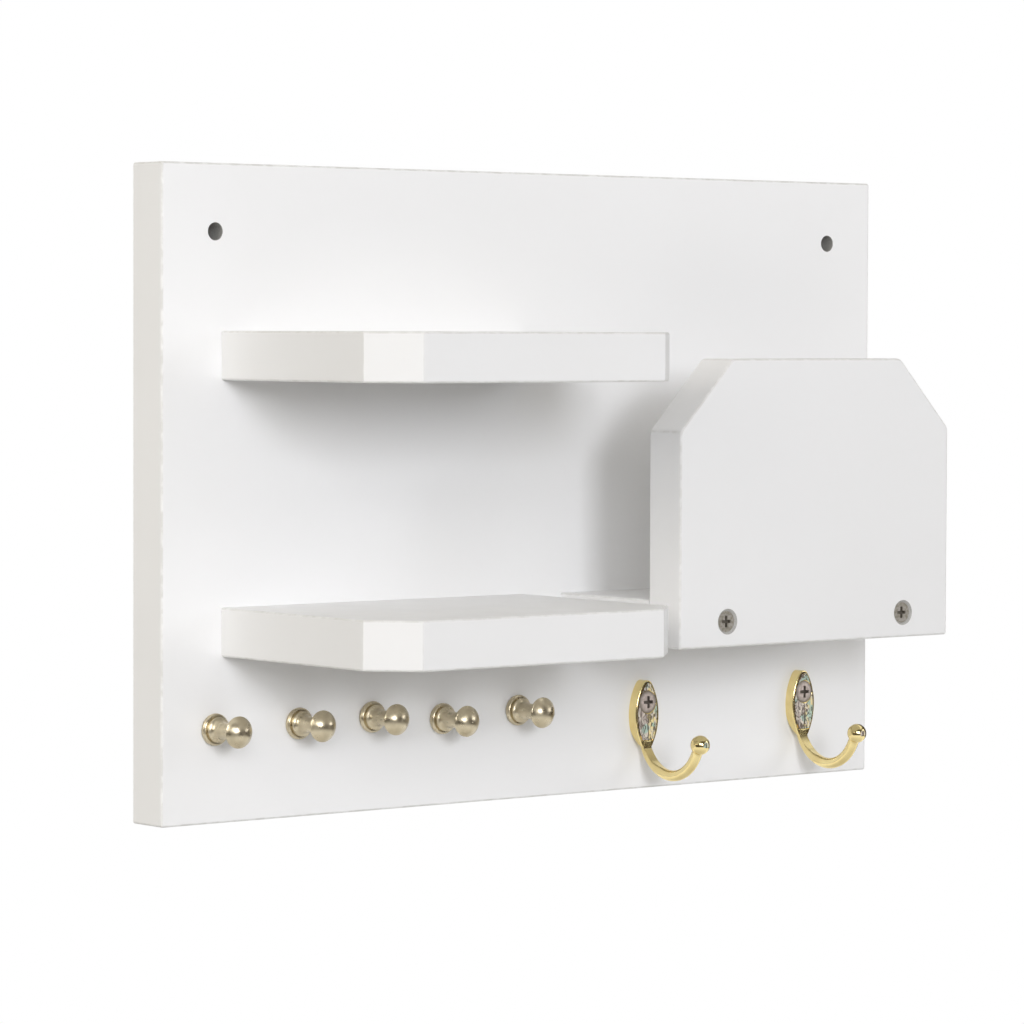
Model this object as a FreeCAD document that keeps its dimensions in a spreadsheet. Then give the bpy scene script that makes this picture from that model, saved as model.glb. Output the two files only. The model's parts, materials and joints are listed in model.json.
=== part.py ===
import FreeCAD, Part
import math
import os

import Sketcher
from FreeCAD import Placement, Rotation, Vector

# Wall key holder: a lacquered back board with two shelves, a letter holder,
# five turned brass knobs and two cast brass hooks.
# Lengths are millimetres. X runs to the right along the board, Y runs into
# the wall and Z runs up. The origin lies on the back face of the board,
# halfway between the two holes for the wall screws.

# Driving sizes: name, value, meaning
SIZES = [
    ("board_width", 350.0, "back board, left to right"),
    ("board_height", 240.0, "back board, bottom to top"),
    ("board_thickness", 18.0, "back board, front to back"),
    ("edge_ease", 1.0, "radius of the sanded edges of all boards"),
    ("wall_hole_inset", 23.5, "wall-screw holes from the ends of the board"),
    ("wall_hole_drop", 24.8, "wall-screw holes below the top of the board"),
    ("wall_hole_bore", 6.5, "diameter of a wall-screw hole"),
    ("shelf_inset", 26.3, "left end of the shelves from the board's left edge"),
    ("shelf_gap", 19.0, "between the shelves and the letter holder"),
    ("shelf_depth", 100.0, "shelf, from the board to its front edge"),
    ("shelf_thickness", 18.0, "shelf, bottom to top"),
    ("shelf_corner", 15.0, "length cut off each side at the front corners"),
    ("upper_shelf_rise", 161.3, "underside of the upper shelf above the board's bottom"),
    ("lower_shelf_rise", 60.7, "underside of the lower shelf above the board's bottom"),
    ("letter_width", 140.0, "letter holder, left to right"),
    ("letter_gap", 52.0, "room for letters between the two boards"),
    ("letter_base_thickness", 18.0, "bottom board of the letter holder"),
    ("letter_front_thickness", 18.0, "front board of the letter holder"),
    ("letter_front_height", 108.8, "front board, bottom to top"),
    ("letter_inset", 23.3, "letter holder from the board's right edge"),
    ("letter_rise", 60.5, "underside of the letter holder above the board's bottom"),
    ("letter_cut_width", 26.0, "cut corner of the front board, across"),
    ("letter_cut_height", 27.2, "cut corner of the front board, down"),
    ("letter_cut_round", 4.0, "radius at both ends of a cut corner"),
    ("letter_screw_inset", 24.0, "front screws from the ends of the letter holder"),
    ("letter_screw_rise", 9.6, "front screws above the underside of the letter holder"),
    ("letter_back_screw_inset", 34.0, "back screws from the ends of the letter holder"),
    ("shelf_screw_inset", 30.0, "back screws from the ends of a shelf"),
    ("wood_screw_shank", 4.0, "wood screw, diameter of its shank"),
    ("wood_screw_head", 8.0, "wood screw, diameter of its head"),
    ("wood_screw_length", 40.0, "wood screw, head to tip"),
    ("wood_screw_tip", 5.0, "wood screw, length of its point"),
    ("letter_screw_countersink", 9.8, "countersink in the front board"),
    ("back_screw_countersink", 8.6, "countersink for wood screws in the back face"),
    ("hook_screw_shank", 4.0, "hook screw, diameter of its shank"),
    ("hook_screw_head", 8.6, "hook screw, diameter of its head"),
    ("hook_screw_dome", 0.6, "hook screw, height of its raised head"),
    ("hook_screw_length", 16.0, "hook screw, head to tip"),
    ("hook_screw_tip", 4.0, "hook screw, length of its point"),
    ("knob_screw_shank", 3.0, "knob screw, diameter of its shank"),
    ("knob_screw_head", 5.6, "knob screw, diameter of its head"),
    ("knob_screw_grip", 6.5, "knob screw, length inside the knob"),
    ("knob_screw_tip", 0.4, "knob screw, length of its chamfered end"),
    ("knob_screw_countersink", 6.2, "countersink for knob screws in the back face"),
    ("cross_span", 0.56, "cross recess, span over the diameter of the head"),
    ("cross_slot", 0.15, "cross recess, slot over the diameter of the head"),
    ("cross_sink", 0.2, "cross recess, depth over the diameter of the head"),
    ("screw_clearance", 0.1, "hole minus shank, on the diameter"),
    ("seat_clearance", 0.05, "gap under the cone of a screw head"),
    ("bore_end_clearance", 0.8, "hole beyond the end of a screw"),
    ("round_fullness", 1.1, "radius of a round edge over half its width"),
    ("knob_inset", 23.0, "first knob from the board's left edge"),
    ("knob_end_inset", 2.7, "last knob from the shelves' right end"),
    ("knob_rise", 34.5, "knobs above the board's bottom"),
    ("knob_1_shift", 0.0, "knob 1, off its pitch to the right"),
    ("knob_2_shift", 2.3, "knob 2, off its pitch to the right"),
    ("knob_3_shift", 0.8, "knob 3, off its pitch to the right"),
    ("knob_4_shift", -1.3, "knob 4, off its pitch to the right"),
    ("knob_5_shift", 0.1, "knob 5, off its pitch to the right"),
    ("knob_1_lift", 0.0, "knob 1, above the row"),
    ("knob_2_lift", 0.2, "knob 2, above the row"),
    ("knob_3_lift", 0.8, "knob 3, above the row"),
    ("knob_4_lift", -1.6, "knob 4, above the row"),
    ("knob_5_lift", -0.3, "knob 5, above the row"),
    ("knob_flange", 11.8, "knob, diameter of its foot"),
    ("knob_bead", 2.2, "knob, height of the round foot"),
    ("knob_groove", 0.5, "knob, width of the groove above the foot"),
    ("knob_groove_depth", 1.2, "knob, depth of the groove below the foot's rim"),
    ("knob_ledge", 1.0, "knob, height of the small bead above the groove"),
    ("knob_cove", 2.0, "knob, height of the hollow from bead to neck"),
    ("knob_cove_sweep", 1.1, "knob, radius of this hollow over its height"),
    ("knob_neck_foot", 6.4, "knob, diameter of the neck at the foot"),
    ("knob_neck_head", 5.0, "knob, diameter of the neck at the head"),
    ("knob_head", 12.0, "knob, diameter of its head"),
    ("knob_head_place", 15.2, "knob, from the board to the back of the head's rim"),
    ("knob_head_hollow", 2.0, "knob, height of the hollow under the head"),
    ("knob_head_hollow_sweep", 1.6, "knob, radius of this hollow over its height"),
    ("knob_head_rim", 0.9, "knob, thickness of the head's rim"),
    ("knob_head_step", 0.45, "knob, step between rim and dome"),
    ("knob_dome", 2.9, "knob, height of the dome above the rim"),
    ("hook_left_inset", 41.1, "left hook from the letter holder's left end"),
    ("hook_right_inset", 15.5, "right hook from the letter holder's right end"),
    ("hook_rise", 34.3, "hook screws above the board's bottom"),
    ("hook_plate_width", 11.9, "hook, plate across"),
    ("hook_plate_height", 27.2, "hook, plate up and down"),
    ("hook_plate_top_end", 2.8, "hook, radius of the plate at its top"),
    ("hook_plate_bottom_end", 3.3, "hook, radius of the plate at its bottom"),
    ("hook_plate_thickness", 4.4, "hook, plate front to back"),
    ("hook_plate_top", 8.6, "hook, top of the plate above the screw"),
    ("hook_rim", 0.7, "hook, rim around the face"),
    ("hook_rim_round", 0.5, "hook, radius of the rim's outer edge"),
    ("hook_groove", 0.4, "hook, width of the groove between rim and face"),
    ("hook_groove_depth", 0.35, "hook, depth of the groove below the rim"),
    ("hook_ridge", 0.5, "hook, height of the face's ridge above the rim"),
    ("hook_face_end", 15.2, "hook, end of the groove below the screw"),
    ("hook_heel_start", 9.0, "hook, where the plate's back leaves the board, below the screw"),
    ("hook_heel_round", 12.0, "hook, radius of the heel behind the plate"),
    ("hook_knee_reach", 4.6, "hook, knee of the flat from the board"),
    ("hook_knee_drop", 18.2, "hook, knee of the flat below the screw"),
    ("hook_arm", 4.3, "hook, diameter of the arm"),
    ("hook_arm_place", 2.6, "hook, arm's axis from the back at its start"),
    ("hook_bend", 16.1, "hook, radius of the bend at the arm's axis"),
    ("hook_bend_drop", 11.7, "hook, centre of the bend below the screw"),
    ("hook_ball", 7.6, "hook, diameter of the ball"),
    ("hook_ball_reach", 35.5, "hook, centre of the ball from the board"),
    ("hook_ball_drop", 14.6, "hook, centre of the ball below the screw"),
    ("hook_neck_round", 1.2, "hook, radius between arm and ball"),
]

# Places that several pieces share, as expressions on the sheet
BOARD_FACE = "(-sizes.board_thickness)"
BOARD_LEFT = "(-sizes.board_width / 2)"
BOARD_BOTTOM = "(sizes.wall_hole_drop - sizes.board_height)"
LETTER_LEFT = "(sizes.board_width / 2 - sizes.letter_inset - sizes.letter_width)"
SHELF_LEFT = f"({BOARD_LEFT} + sizes.shelf_inset)"
SHELF_LENGTH = f"({LETTER_LEFT} - sizes.shelf_gap - {SHELF_LEFT})"
UPPER_SHELF_BOTTOM = f"({BOARD_BOTTOM} + sizes.upper_shelf_rise)"
LOWER_SHELF_BOTTOM = f"({BOARD_BOTTOM} + sizes.lower_shelf_rise)"
LETTER_BOTTOM = f"({BOARD_BOTTOM} + sizes.letter_rise)"
LETTER_FACE = f"({BOARD_FACE} - sizes.letter_gap - sizes.letter_front_thickness)"
KNOBS = range(1, 6)
KNOB_ROW = f"(sizes.shelf_inset + {SHELF_LENGTH} - sizes.knob_end_inset - sizes.knob_inset)"
KNOB_PITCH = f"({KNOB_ROW} / {len(KNOBS) - 1})"
WOOD_BORE = "(sizes.wood_screw_shank + sizes.screw_clearance)"
HOOK_BORE = "(sizes.hook_screw_shank + sizes.screw_clearance)"
KNOB_BORE = "(sizes.knob_screw_shank + sizes.screw_clearance)"
# The arm of a hook leaves its bend on a straight line to the ball
HOOK_BALL_OUT = "(sizes.hook_ball_reach - sizes.hook_arm_place - sizes.hook_bend)"
HOOK_BALL_DOWN = "(sizes.hook_ball_drop - sizes.hook_bend_drop)"
HOOK_BALL_AWAY = f"sqrt({HOOK_BALL_OUT} ^ 2 + {HOOK_BALL_DOWN} ^ 2)"
HOOK_STRAIGHT = f"sqrt({HOOK_BALL_OUT} ^ 2 + {HOOK_BALL_DOWN} ^ 2 - sizes.hook_bend ^ 2)"
HOOK_RISE_ANGLE = f"(atan({HOOK_BALL_DOWN} / {HOOK_BALL_OUT}) + acos(sizes.hook_bend / {HOOK_BALL_AWAY}))"
HOOK_START_ANGLE = (
    "asin((sizes.hook_face_end - sizes.hook_bend_drop) / (sizes.hook_bend - sizes.hook_arm / 2))"
)
HOOK_SCREW_REACH = "(sizes.hook_screw_length - sizes.hook_plate_thickness + sizes.bore_end_clearance)"
BACK_SCREW_SUNK = "(sizes.back_screw_countersink - sizes.wood_screw_head) / 2"
WOOD_SCREW_ROOM = "(sizes.wood_screw_length + sizes.bore_end_clearance)"
BACK_SCREW_REACH = f"({WOOD_SCREW_ROOM} + {BACK_SCREW_SUNK} - sizes.board_thickness)"
LETTER_SCREW_SUNK = "(sizes.letter_screw_countersink - sizes.wood_screw_head) / 2"
LETTER_SCREW_REACH = f"({WOOD_SCREW_ROOM} + {LETTER_SCREW_SUNK} - sizes.letter_front_thickness)"
# A full round edge is an arc a little flatter than a half circle: its radius and
# its rise, each over the width of the edge
ROUND_RADIUS = "sizes.round_fullness / 2"
ROUND_RISE = "(sizes.round_fullness - sqrt(sizes.round_fullness ^ 2 - 1)) / 2"
SIDES = ("left", "right")
HALF_TURN = Rotation(Vector(0, 0, 1), 180)
COUNTERSINK_ANGLE = 90
# A tilted sketch gets its axis with this angle, then the sheet sets the real one
FIRST_TILT = 45
ORIGIN = -1
START, END, CENTRE = 1, 2, 3
NEAR = 1e-4


def make_sheet(doc):
    """The driving sizes, one row each: meaning, value with its alias."""
    sheet = doc.addObject("Spreadsheet::Sheet", "sizes")
    for row, (alias, value, meaning) in enumerate(SIZES, start=1):
        sheet.set(f"A{row}", meaning)
        sheet.set(f"B{row}", str(value))
        sheet.setAlias(f"B{row}", alias)
    doc.recompute()
    return sheet


def new_body(doc, label, x="0", y="0", z="0", turned=False):
    """A body of its own for one piece, placed by expressions."""
    body = doc.addObject("PartDesign::Body", label)
    body.Label = label
    if turned:
        body.Placement = Placement(Vector(), HALF_TURN)
    for axis, expression in zip("xyz", (x, y, z)):
        body.setExpression(f"Placement.Base.{axis}", expression)
    return body


def new_sketch(body, name, plane, lift="0"):
    """An empty sketch on an origin plane of its body, lifted along the plane's normal."""
    sketch = body.newObject("Sketcher::SketchObject", name)
    support = next(f for f in body.Origin.OriginFeatures if f.Role == plane)
    sketch.AttachmentSupport = [(support, "")]
    sketch.MapMode = "FlatFace"
    sketch.setExpression("AttachmentOffset.Base.z", lift)
    return sketch


def value(sketch, expression):
    """The number that an expression on the sheet stands for."""
    return float(sketch.evalExpression(expression))


def bind(sketch, kind, where, expression):
    """Add one dimension to a sketch and tie it to the sheet."""
    index = sketch.addConstraint(Sketcher.Constraint(kind, *where, value(sketch, expression)))
    sketch.setExpression(f"Constraints[{index}]", expression)


def pin(sketch, curve, point, x, y):
    """Tie a point of a curve to its two coordinates."""
    bind(sketch, "DistanceX", (ORIGIN, 1, curve, point), x)
    bind(sketch, "DistanceY", (ORIGIN, 1, curve, point), y)


def circle(sketch, x, y, diameter):
    """A circle tied to its centre and diameter."""
    centre = Vector(value(sketch, x), value(sketch, y), 0)
    radius = value(sketch, diameter) / 2
    curve = sketch.addGeometry(Part.Circle(centre, Vector(0, 0, 1), radius))
    pin(sketch, curve, CENTRE, x, y)
    bind(sketch, "Diameter", (curve,), diameter)


def arc_between(first, last, radius):
    """The short arc from first to last: anticlockwise for a positive radius."""
    chord = last - first
    reach = math.sqrt(max(radius ** 2 - (chord.Length / 2) ** 2, 0.0))
    side = Vector(-chord.y, chord.x, 0).normalize() * math.copysign(reach, radius)
    centre = (first + last) / 2 + side
    ends = (first, last) if radius > 0 else (last, first)
    angles = [math.atan2(p.y - centre.y, p.x - centre.x) for p in ends]
    if angles[1] < angles[0]:
        angles[1] += 2 * math.pi
    return Part.ArcOfCircle(Part.Circle(centre, Vector(0, 0, 1), abs(radius)), *angles)


def outline(sketch, corners):
    """A closed outline. A corner is (x, y), or (x, y, radius, turn) where the side
    that leaves it is an arc, with turn 1 for anticlockwise and -1 for clockwise."""
    points = [Vector(value(sketch, c[0]), value(sketch, c[1]), 0) for c in corners]
    sides = []
    for index, corner in enumerate(corners):
        first, last = points[index], points[(index + 1) % len(points)]
        if len(corner) == 2:
            sides.append((sketch.addGeometry(Part.LineSegment(first, last)), START, END))
            continue
        arc = arc_between(first, last, value(sketch, corner[2]) * corner[3])
        leaves, arrives = (START, END) if corner[3] > 0 else (END, START)
        sides.append((sketch.addGeometry(arc), leaves, arrives))
    for index, (curve, _, arrives) in enumerate(sides):
        next_curve, leaves, _ = sides[(index + 1) % len(sides)]
        sketch.addConstraint(Sketcher.Constraint("Coincident", curve, arrives, next_curve, leaves))
    for corner, (curve, leaves, _) in zip(corners, sides):
        pin(sketch, curve, leaves, corner[0], corner[1])
        if len(corner) > 2:
            bind(sketch, "Radius", (curve,), corner[2])


def side_arc(half, rise, end_radius):
    """Radius of a side arc that is upright at its foot and meets the end arc smoothly,
    and where the two meet: across and along."""
    radius = f"(({half} ^ 2 + {rise} ^ 2 - {end_radius} ^ 2) / (2 * ({half} - {end_radius})))"
    across = f"({end_radius} * ({radius} - {half}) / ({radius} - {end_radius}))"
    along = f"({rise} + {end_radius} * {rise} / ({radius} - {end_radius}))"
    return radius, across, along


def oval(sketch, width, top, top_radius, bottom, bottom_radius, cut=None):
    """An upright egg of arcs on the sketch's vertical axis, widest halfway up. With a cut
    it ends there in a straight line."""
    half = f"({width} / 2)"
    middle = f"(({top} + {bottom}) / 2)"
    rise = f"({top} - {middle} - {top_radius})"
    upper_radius, upper_x, upper_y = side_arc(half, rise, top_radius)
    rise = f"({middle} - {bottom} - {bottom_radius})"
    lower_radius, lower_x, lower_y = side_arc(half, rise, bottom_radius)
    lower_end = f"{middle} - {lower_y}"
    last = (f"-{lower_x}", lower_end, bottom_radius, 1)
    if cut:
        lower_x = f"({half} - {lower_radius} + sqrt({lower_radius} ^ 2 - ({middle} - {cut}) ^ 2))"
        lower_end = cut
        last = (f"-{lower_x}", cut)
    outline(
        sketch,
        [
            (lower_x, lower_end, lower_radius, 1),
            (half, middle, upper_radius, 1),
            (upper_x, f"{middle} + {upper_y}", top_radius, 1),
            (f"-{upper_x}", f"{middle} + {upper_y}", upper_radius, 1),
            (f"-{half}", middle, lower_radius, 1),
            last,
        ],
    )


def extrude(body, kind, name, sketch, length, symmetric=False):
    """Pad or pocket a sketch by a length tied to the sheet."""
    feature = body.newObject(f"PartDesign::{kind}", name)
    feature.Profile = sketch
    feature.SideType = "Symmetric" if symmetric else "One side"
    feature.setExpression("Length", length)
    body.Document.recompute()
    return feature


def revolve(body, name, sketch, axis, angle="360 deg"):
    """Turn a sketch about one of its own axes."""
    feature = body.newObject("PartDesign::Revolution", name)
    feature.Profile = sketch
    feature.ReferenceAxis = (sketch, [axis])
    feature.setExpression("Angle", angle)
    body.Document.recompute()
    return feature


def drill(body, name, centres, bore, depth=None, countersink=None, level="0", from_back=False):
    """Holes along Y, into the wall or from the back. Without a depth they go right through."""
    sketch = new_sketch(body, f"{name}_centres", "XZ_Plane", level)
    for x, z in centres:
        circle(sketch, x, z, bore)
    feature = body.newObject("PartDesign::Hole", name)
    feature.Profile = sketch
    body.Document.recompute()
    feature.DepthType = "Dimension" if depth else "ThroughAll"
    feature.DrillPoint = "Flat"
    feature.Reversed = from_back
    feature.setExpression("Diameter", bore)
    if depth:
        feature.setExpression("Depth", depth)
    if countersink:
        feature.HoleCutType = "Countersink"
        feature.HoleCutCountersinkAngle = COUNTERSINK_ANGLE
        feature.setExpression("HoleCutDiameter", countersink)
    body.Document.recompute()
    return feature


def round_edges(body, name, wanted, radius):
    """Fillet the edges of the body's tip that the test picks."""
    tip = body.Tip
    names = [f"Edge{i}" for i, edge in enumerate(tip.Shape.Edges, start=1) if wanted(edge)]
    if not names:
        raise RuntimeError(f"{body.Label}: {name} finds no edge")
    feature = body.newObject("PartDesign::Fillet", name)
    feature.Base = (tip, names)
    feature.setExpression("Radius", radius)
    body.Document.recompute()
    return feature


def lies_at(edge, axis, place):
    """True if the whole edge lies on the plane where this axis has this value."""
    box = edge.BoundBox
    low, high = getattr(box, f"{axis}Min"), getattr(box, f"{axis}Max")
    return abs(low - place) < NEAR and abs(high - place) < NEAR


def runs_along(edge, axis):
    """True if the edge is a straight one along this axis."""
    box = edge.BoundBox
    others = [getattr(box, f"{other}Length") for other in "XYZ" if other != axis]
    return max(others) < NEAR


def knob_place(number):
    """Where a knob's axis meets the board: x and z."""
    x = f"({BOARD_LEFT} + sizes.knob_inset + {number - 1} * {KNOB_PITCH} + sizes.knob_{number}_shift)"
    z = f"({BOARD_BOTTOM} + sizes.knob_rise + sizes.knob_{number}_lift)"
    return x, z


def hook_place(side):
    """Where a hook's screw meets the board: x and z."""
    z = f"({BOARD_BOTTOM} + sizes.hook_rise)"
    if side == "left":
        return f"({LETTER_LEFT} + sizes.hook_left_inset)", z
    return f"({LETTER_LEFT} + sizes.letter_width - sizes.hook_right_inset)", z


def pair(left, length, inset, z):
    """Two points, each this inset from an end of a piece: x and z."""
    return [(f"({left} + {inset})", z), (f"({left} + {length} - {inset})", z)]


def shelf_screw_places(bottom):
    """The two screws that hold a shelf, at half its thickness."""
    z = f"({bottom} + sizes.shelf_thickness / 2)"
    return pair(SHELF_LEFT, SHELF_LENGTH, "sizes.shelf_screw_inset", z)


def letter_back_screw_places():
    """The two screws from the back into the letter holder's bottom board."""
    z = f"({LETTER_BOTTOM} + sizes.letter_base_thickness / 2)"
    return pair(LETTER_LEFT, "sizes.letter_width", "sizes.letter_back_screw_inset", z)


def letter_screw_places(left, bottom):
    """The two screws through the letter holder's front board."""
    z = f"({bottom} + sizes.letter_screw_rise)"
    return pair(left, "sizes.letter_width", "sizes.letter_screw_inset", z)


def back_board(doc):
    """The board on the wall, with every hole that the other pieces need."""
    body = new_body(doc, "back_board")
    sketch = new_sketch(body, "board_outline", "XZ_Plane")
    right, top = "sizes.board_width / 2", "sizes.wall_hole_drop"
    outline(sketch, [(BOARD_LEFT, BOARD_BOTTOM), (right, BOARD_BOTTOM), (right, top), (BOARD_LEFT, top)])
    extrude(body, "Pad", "board", sketch, "sizes.board_thickness")
    front = value(sketch, BOARD_FACE)
    round_edges(
        body,
        "board_eased_edges",
        lambda edge: lies_at(edge, "Y", front) or runs_along(edge, "Y"),
        "sizes.edge_ease",
    )
    wall_holes = pair(BOARD_LEFT, "sizes.board_width", "sizes.wall_hole_inset", "0")
    drill(body, "wall_holes", wall_holes, "sizes.wall_hole_bore", from_back=True)
    wood_screws = shelf_screw_places(UPPER_SHELF_BOTTOM)
    wood_screws += shelf_screw_places(LOWER_SHELF_BOTTOM)
    wood_screws += letter_back_screw_places()
    countersink = "sizes.back_screw_countersink"
    drill(body, "wood_screw_holes", wood_screws, WOOD_BORE, countersink=countersink, from_back=True)
    knobs = [knob_place(number) for number in KNOBS]
    countersink = "sizes.knob_screw_countersink"
    drill(body, "knob_screw_holes", knobs, KNOB_BORE, countersink=countersink, from_back=True)
    hooks = [hook_place(side) for side in SIDES]
    drill(body, "hook_screw_holes", hooks, HOOK_BORE, depth=HOOK_SCREW_REACH, level="sizes.board_thickness")
    return body


def shelf(doc, label, bottom):
    """A shelf with its two front corners cut off."""
    body = new_body(doc, label, SHELF_LEFT, BOARD_FACE, bottom)
    sketch = new_sketch(body, f"{label}_outline", "XY_Plane")
    length, depth, cut = SHELF_LENGTH, "sizes.shelf_depth", "sizes.shelf_corner"
    outline(
        sketch,
        [
            ("0", "0"),
            ("0", f"{cut} - {depth}"),
            (cut, f"-{depth}"),
            (f"{length} - {cut}", f"-{depth}"),
            (length, f"{cut} - {depth}"),
            (length, "0"),
        ],
    )
    extrude(body, "Pad", f"{label}_board", sketch, "sizes.shelf_thickness")
    round_edges(body, f"{label}_eased_edges", lambda edge: not lies_at(edge, "Y", 0), "sizes.edge_ease")
    screws = pair("0", length, "sizes.shelf_screw_inset", "sizes.shelf_thickness / 2")
    drill(body, f"{label}_screw_holes", screws, WOOD_BORE, depth=BACK_SCREW_REACH, from_back=True)
    return body


def letter_base(doc):
    """The bottom board of the letter holder, between back board and front board."""
    body = new_body(doc, "letter_base", LETTER_LEFT, BOARD_FACE, LETTER_BOTTOM)
    sketch = new_sketch(body, "base_outline", "XY_Plane")
    width, gap = "sizes.letter_width", "sizes.letter_gap"
    outline(sketch, [("0", "0"), ("0", f"-{gap}"), (width, f"-{gap}"), (width, "0")])
    extrude(body, "Pad", "base_board", sketch, "sizes.letter_base_thickness")
    round_edges(body, "base_eased_edges", lambda edge: runs_along(edge, "Y"), "sizes.edge_ease")
    back_screws = pair("0", width, "sizes.letter_back_screw_inset", "sizes.letter_base_thickness / 2")
    drill(body, "base_back_screw_holes", back_screws, WOOD_BORE, depth=BACK_SCREW_REACH, from_back=True)
    front_screws = letter_screw_places("0", "0")
    drill(body, "base_front_screw_holes", front_screws, WOOD_BORE, depth=LETTER_SCREW_REACH, level=gap)
    return body


def letter_front(doc):
    """The front board of the letter holder, with both top corners cut off."""
    thickness = "sizes.letter_front_thickness"
    body = new_body(doc, "letter_front", LETTER_LEFT, f"{BOARD_FACE} - sizes.letter_gap", LETTER_BOTTOM)
    sketch = new_sketch(body, "front_outline", "XZ_Plane")
    width, height = "sizes.letter_width", "sizes.letter_front_height"
    across, down = "sizes.letter_cut_width", "sizes.letter_cut_height"
    outline(
        sketch,
        [
            ("0", "0"),
            (width, "0"),
            (width, f"{height} - {down}"),
            (f"{width} - {across}", height),
            (across, height),
            ("0", f"{height} - {down}"),
        ],
    )
    extrude(body, "Pad", "front_board", sketch, thickness)
    bottom = value(sketch, "sizes.edge_ease")
    round_edges(
        body,
        "front_cut_corners",
        lambda edge: runs_along(edge, "Y") and edge.BoundBox.ZMin > bottom,
        "sizes.letter_cut_round",
    )
    face = value(sketch, f"-{thickness}")
    round_edges(
        body,
        "front_eased_edges",
        lambda edge: lies_at(edge, "Y", 0) or lies_at(edge, "Y", face) or edge.BoundBox.ZMax < NEAR,
        "sizes.edge_ease",
    )
    screws = letter_screw_places("0", "0")
    countersink = "sizes.letter_screw_countersink"
    drill(body, "front_screw_holes", screws, WOOD_BORE, countersink=countersink, level=thickness)
    return body


def cross_recess(body, label, head, top):
    """The cross for the driver, cut into the head from its highest point."""
    sketch = new_sketch(body, f"{label}_cross_outline", "XZ_Plane", top)
    reach = f"(sizes.cross_span * {head} / 2)"
    half = f"(sizes.cross_slot * {head} / 2)"
    outline(
        sketch,
        [
            (half, half),
            (half, reach),
            (f"-{half}", reach),
            (f"-{half}", half),
            (f"-{reach}", half),
            (f"-{reach}", f"-{half}"),
            (f"-{half}", f"-{half}"),
            (f"-{half}", f"-{reach}"),
            (half, f"-{reach}"),
            (half, f"-{half}"),
            (reach, f"-{half}"),
            (reach, half),
        ],
    )
    depth = f"sizes.cross_sink * {head} + {top}"
    extrude(body, "Pocket", f"{label}_cross", sketch, depth)


def screw(doc, label, kind, length, place, from_back=False):
    """A countersunk screw with a cross recess. Its head lies at its origin and it runs into the wall,
    or out of the back."""
    body = new_body(doc, label, *place, turned=from_back)
    sketch = new_sketch(body, f"{label}_profile", "XY_Plane")
    head, shank = f"sizes.{kind}_head", f"sizes.{kind}_shank"
    tip = f"sizes.{kind}_tip"
    point = f"({shank} / 2 - {tip})" if kind == "knob_screw" else "0"
    dome = "sizes.hook_screw_dome" if kind == "hook_screw" else "0"
    cone_end = f"({head} - {shank}) / 2"
    corners = [("0", f"-{dome}"), (f"{head} / 2", "0"), (f"{shank} / 2", cone_end)]
    if dome != "0":
        bulge = f"((({head} / 2) ^ 2 + {dome} ^ 2) / (2 * {dome}))"
        corners[0] += (bulge, 1)
    corners.append((f"{shank} / 2", f"{length} - {tip}"))
    if point != "0":
        corners.append((point, length))
    corners.append(("0", length))
    outline(sketch, corners)
    revolve(body, f"{label}_turned", sketch, "V_Axis")
    cross_recess(body, label, head, dome)
    return body


def sunk(head, countersink):
    """How deep a screw's head lies in its countersink."""
    return f"((sizes.{countersink} - sizes.{head}) / 2 - sizes.seat_clearance)"


def wood_screws(doc):
    """The screws that hold the shelves and the letter holder."""
    bodies = []
    rows = [
        ("upper_shelf_screw", shelf_screw_places(UPPER_SHELF_BOTTOM)),
        ("lower_shelf_screw", shelf_screw_places(LOWER_SHELF_BOTTOM)),
        ("letter_back_screw", letter_back_screw_places()),
    ]
    depth = f"-{sunk('wood_screw_head', 'back_screw_countersink')}"
    for name, places in rows:
        for side, (x, z) in zip(SIDES, places):
            label = f"{name}_{side}"
            place = (x, depth, z)
            bodies.append(screw(doc, label, "wood_screw", "sizes.wood_screw_length", place, from_back=True))
    depth = f"{LETTER_FACE} + {sunk('wood_screw_head', 'letter_screw_countersink')}"
    for side, (x, z) in zip(SIDES, letter_screw_places(LETTER_LEFT, LETTER_BOTTOM)):
        label = f"letter_front_screw_{side}"
        bodies.append(screw(doc, label, "wood_screw", "sizes.wood_screw_length", (x, depth, z)))
    return bodies


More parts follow.
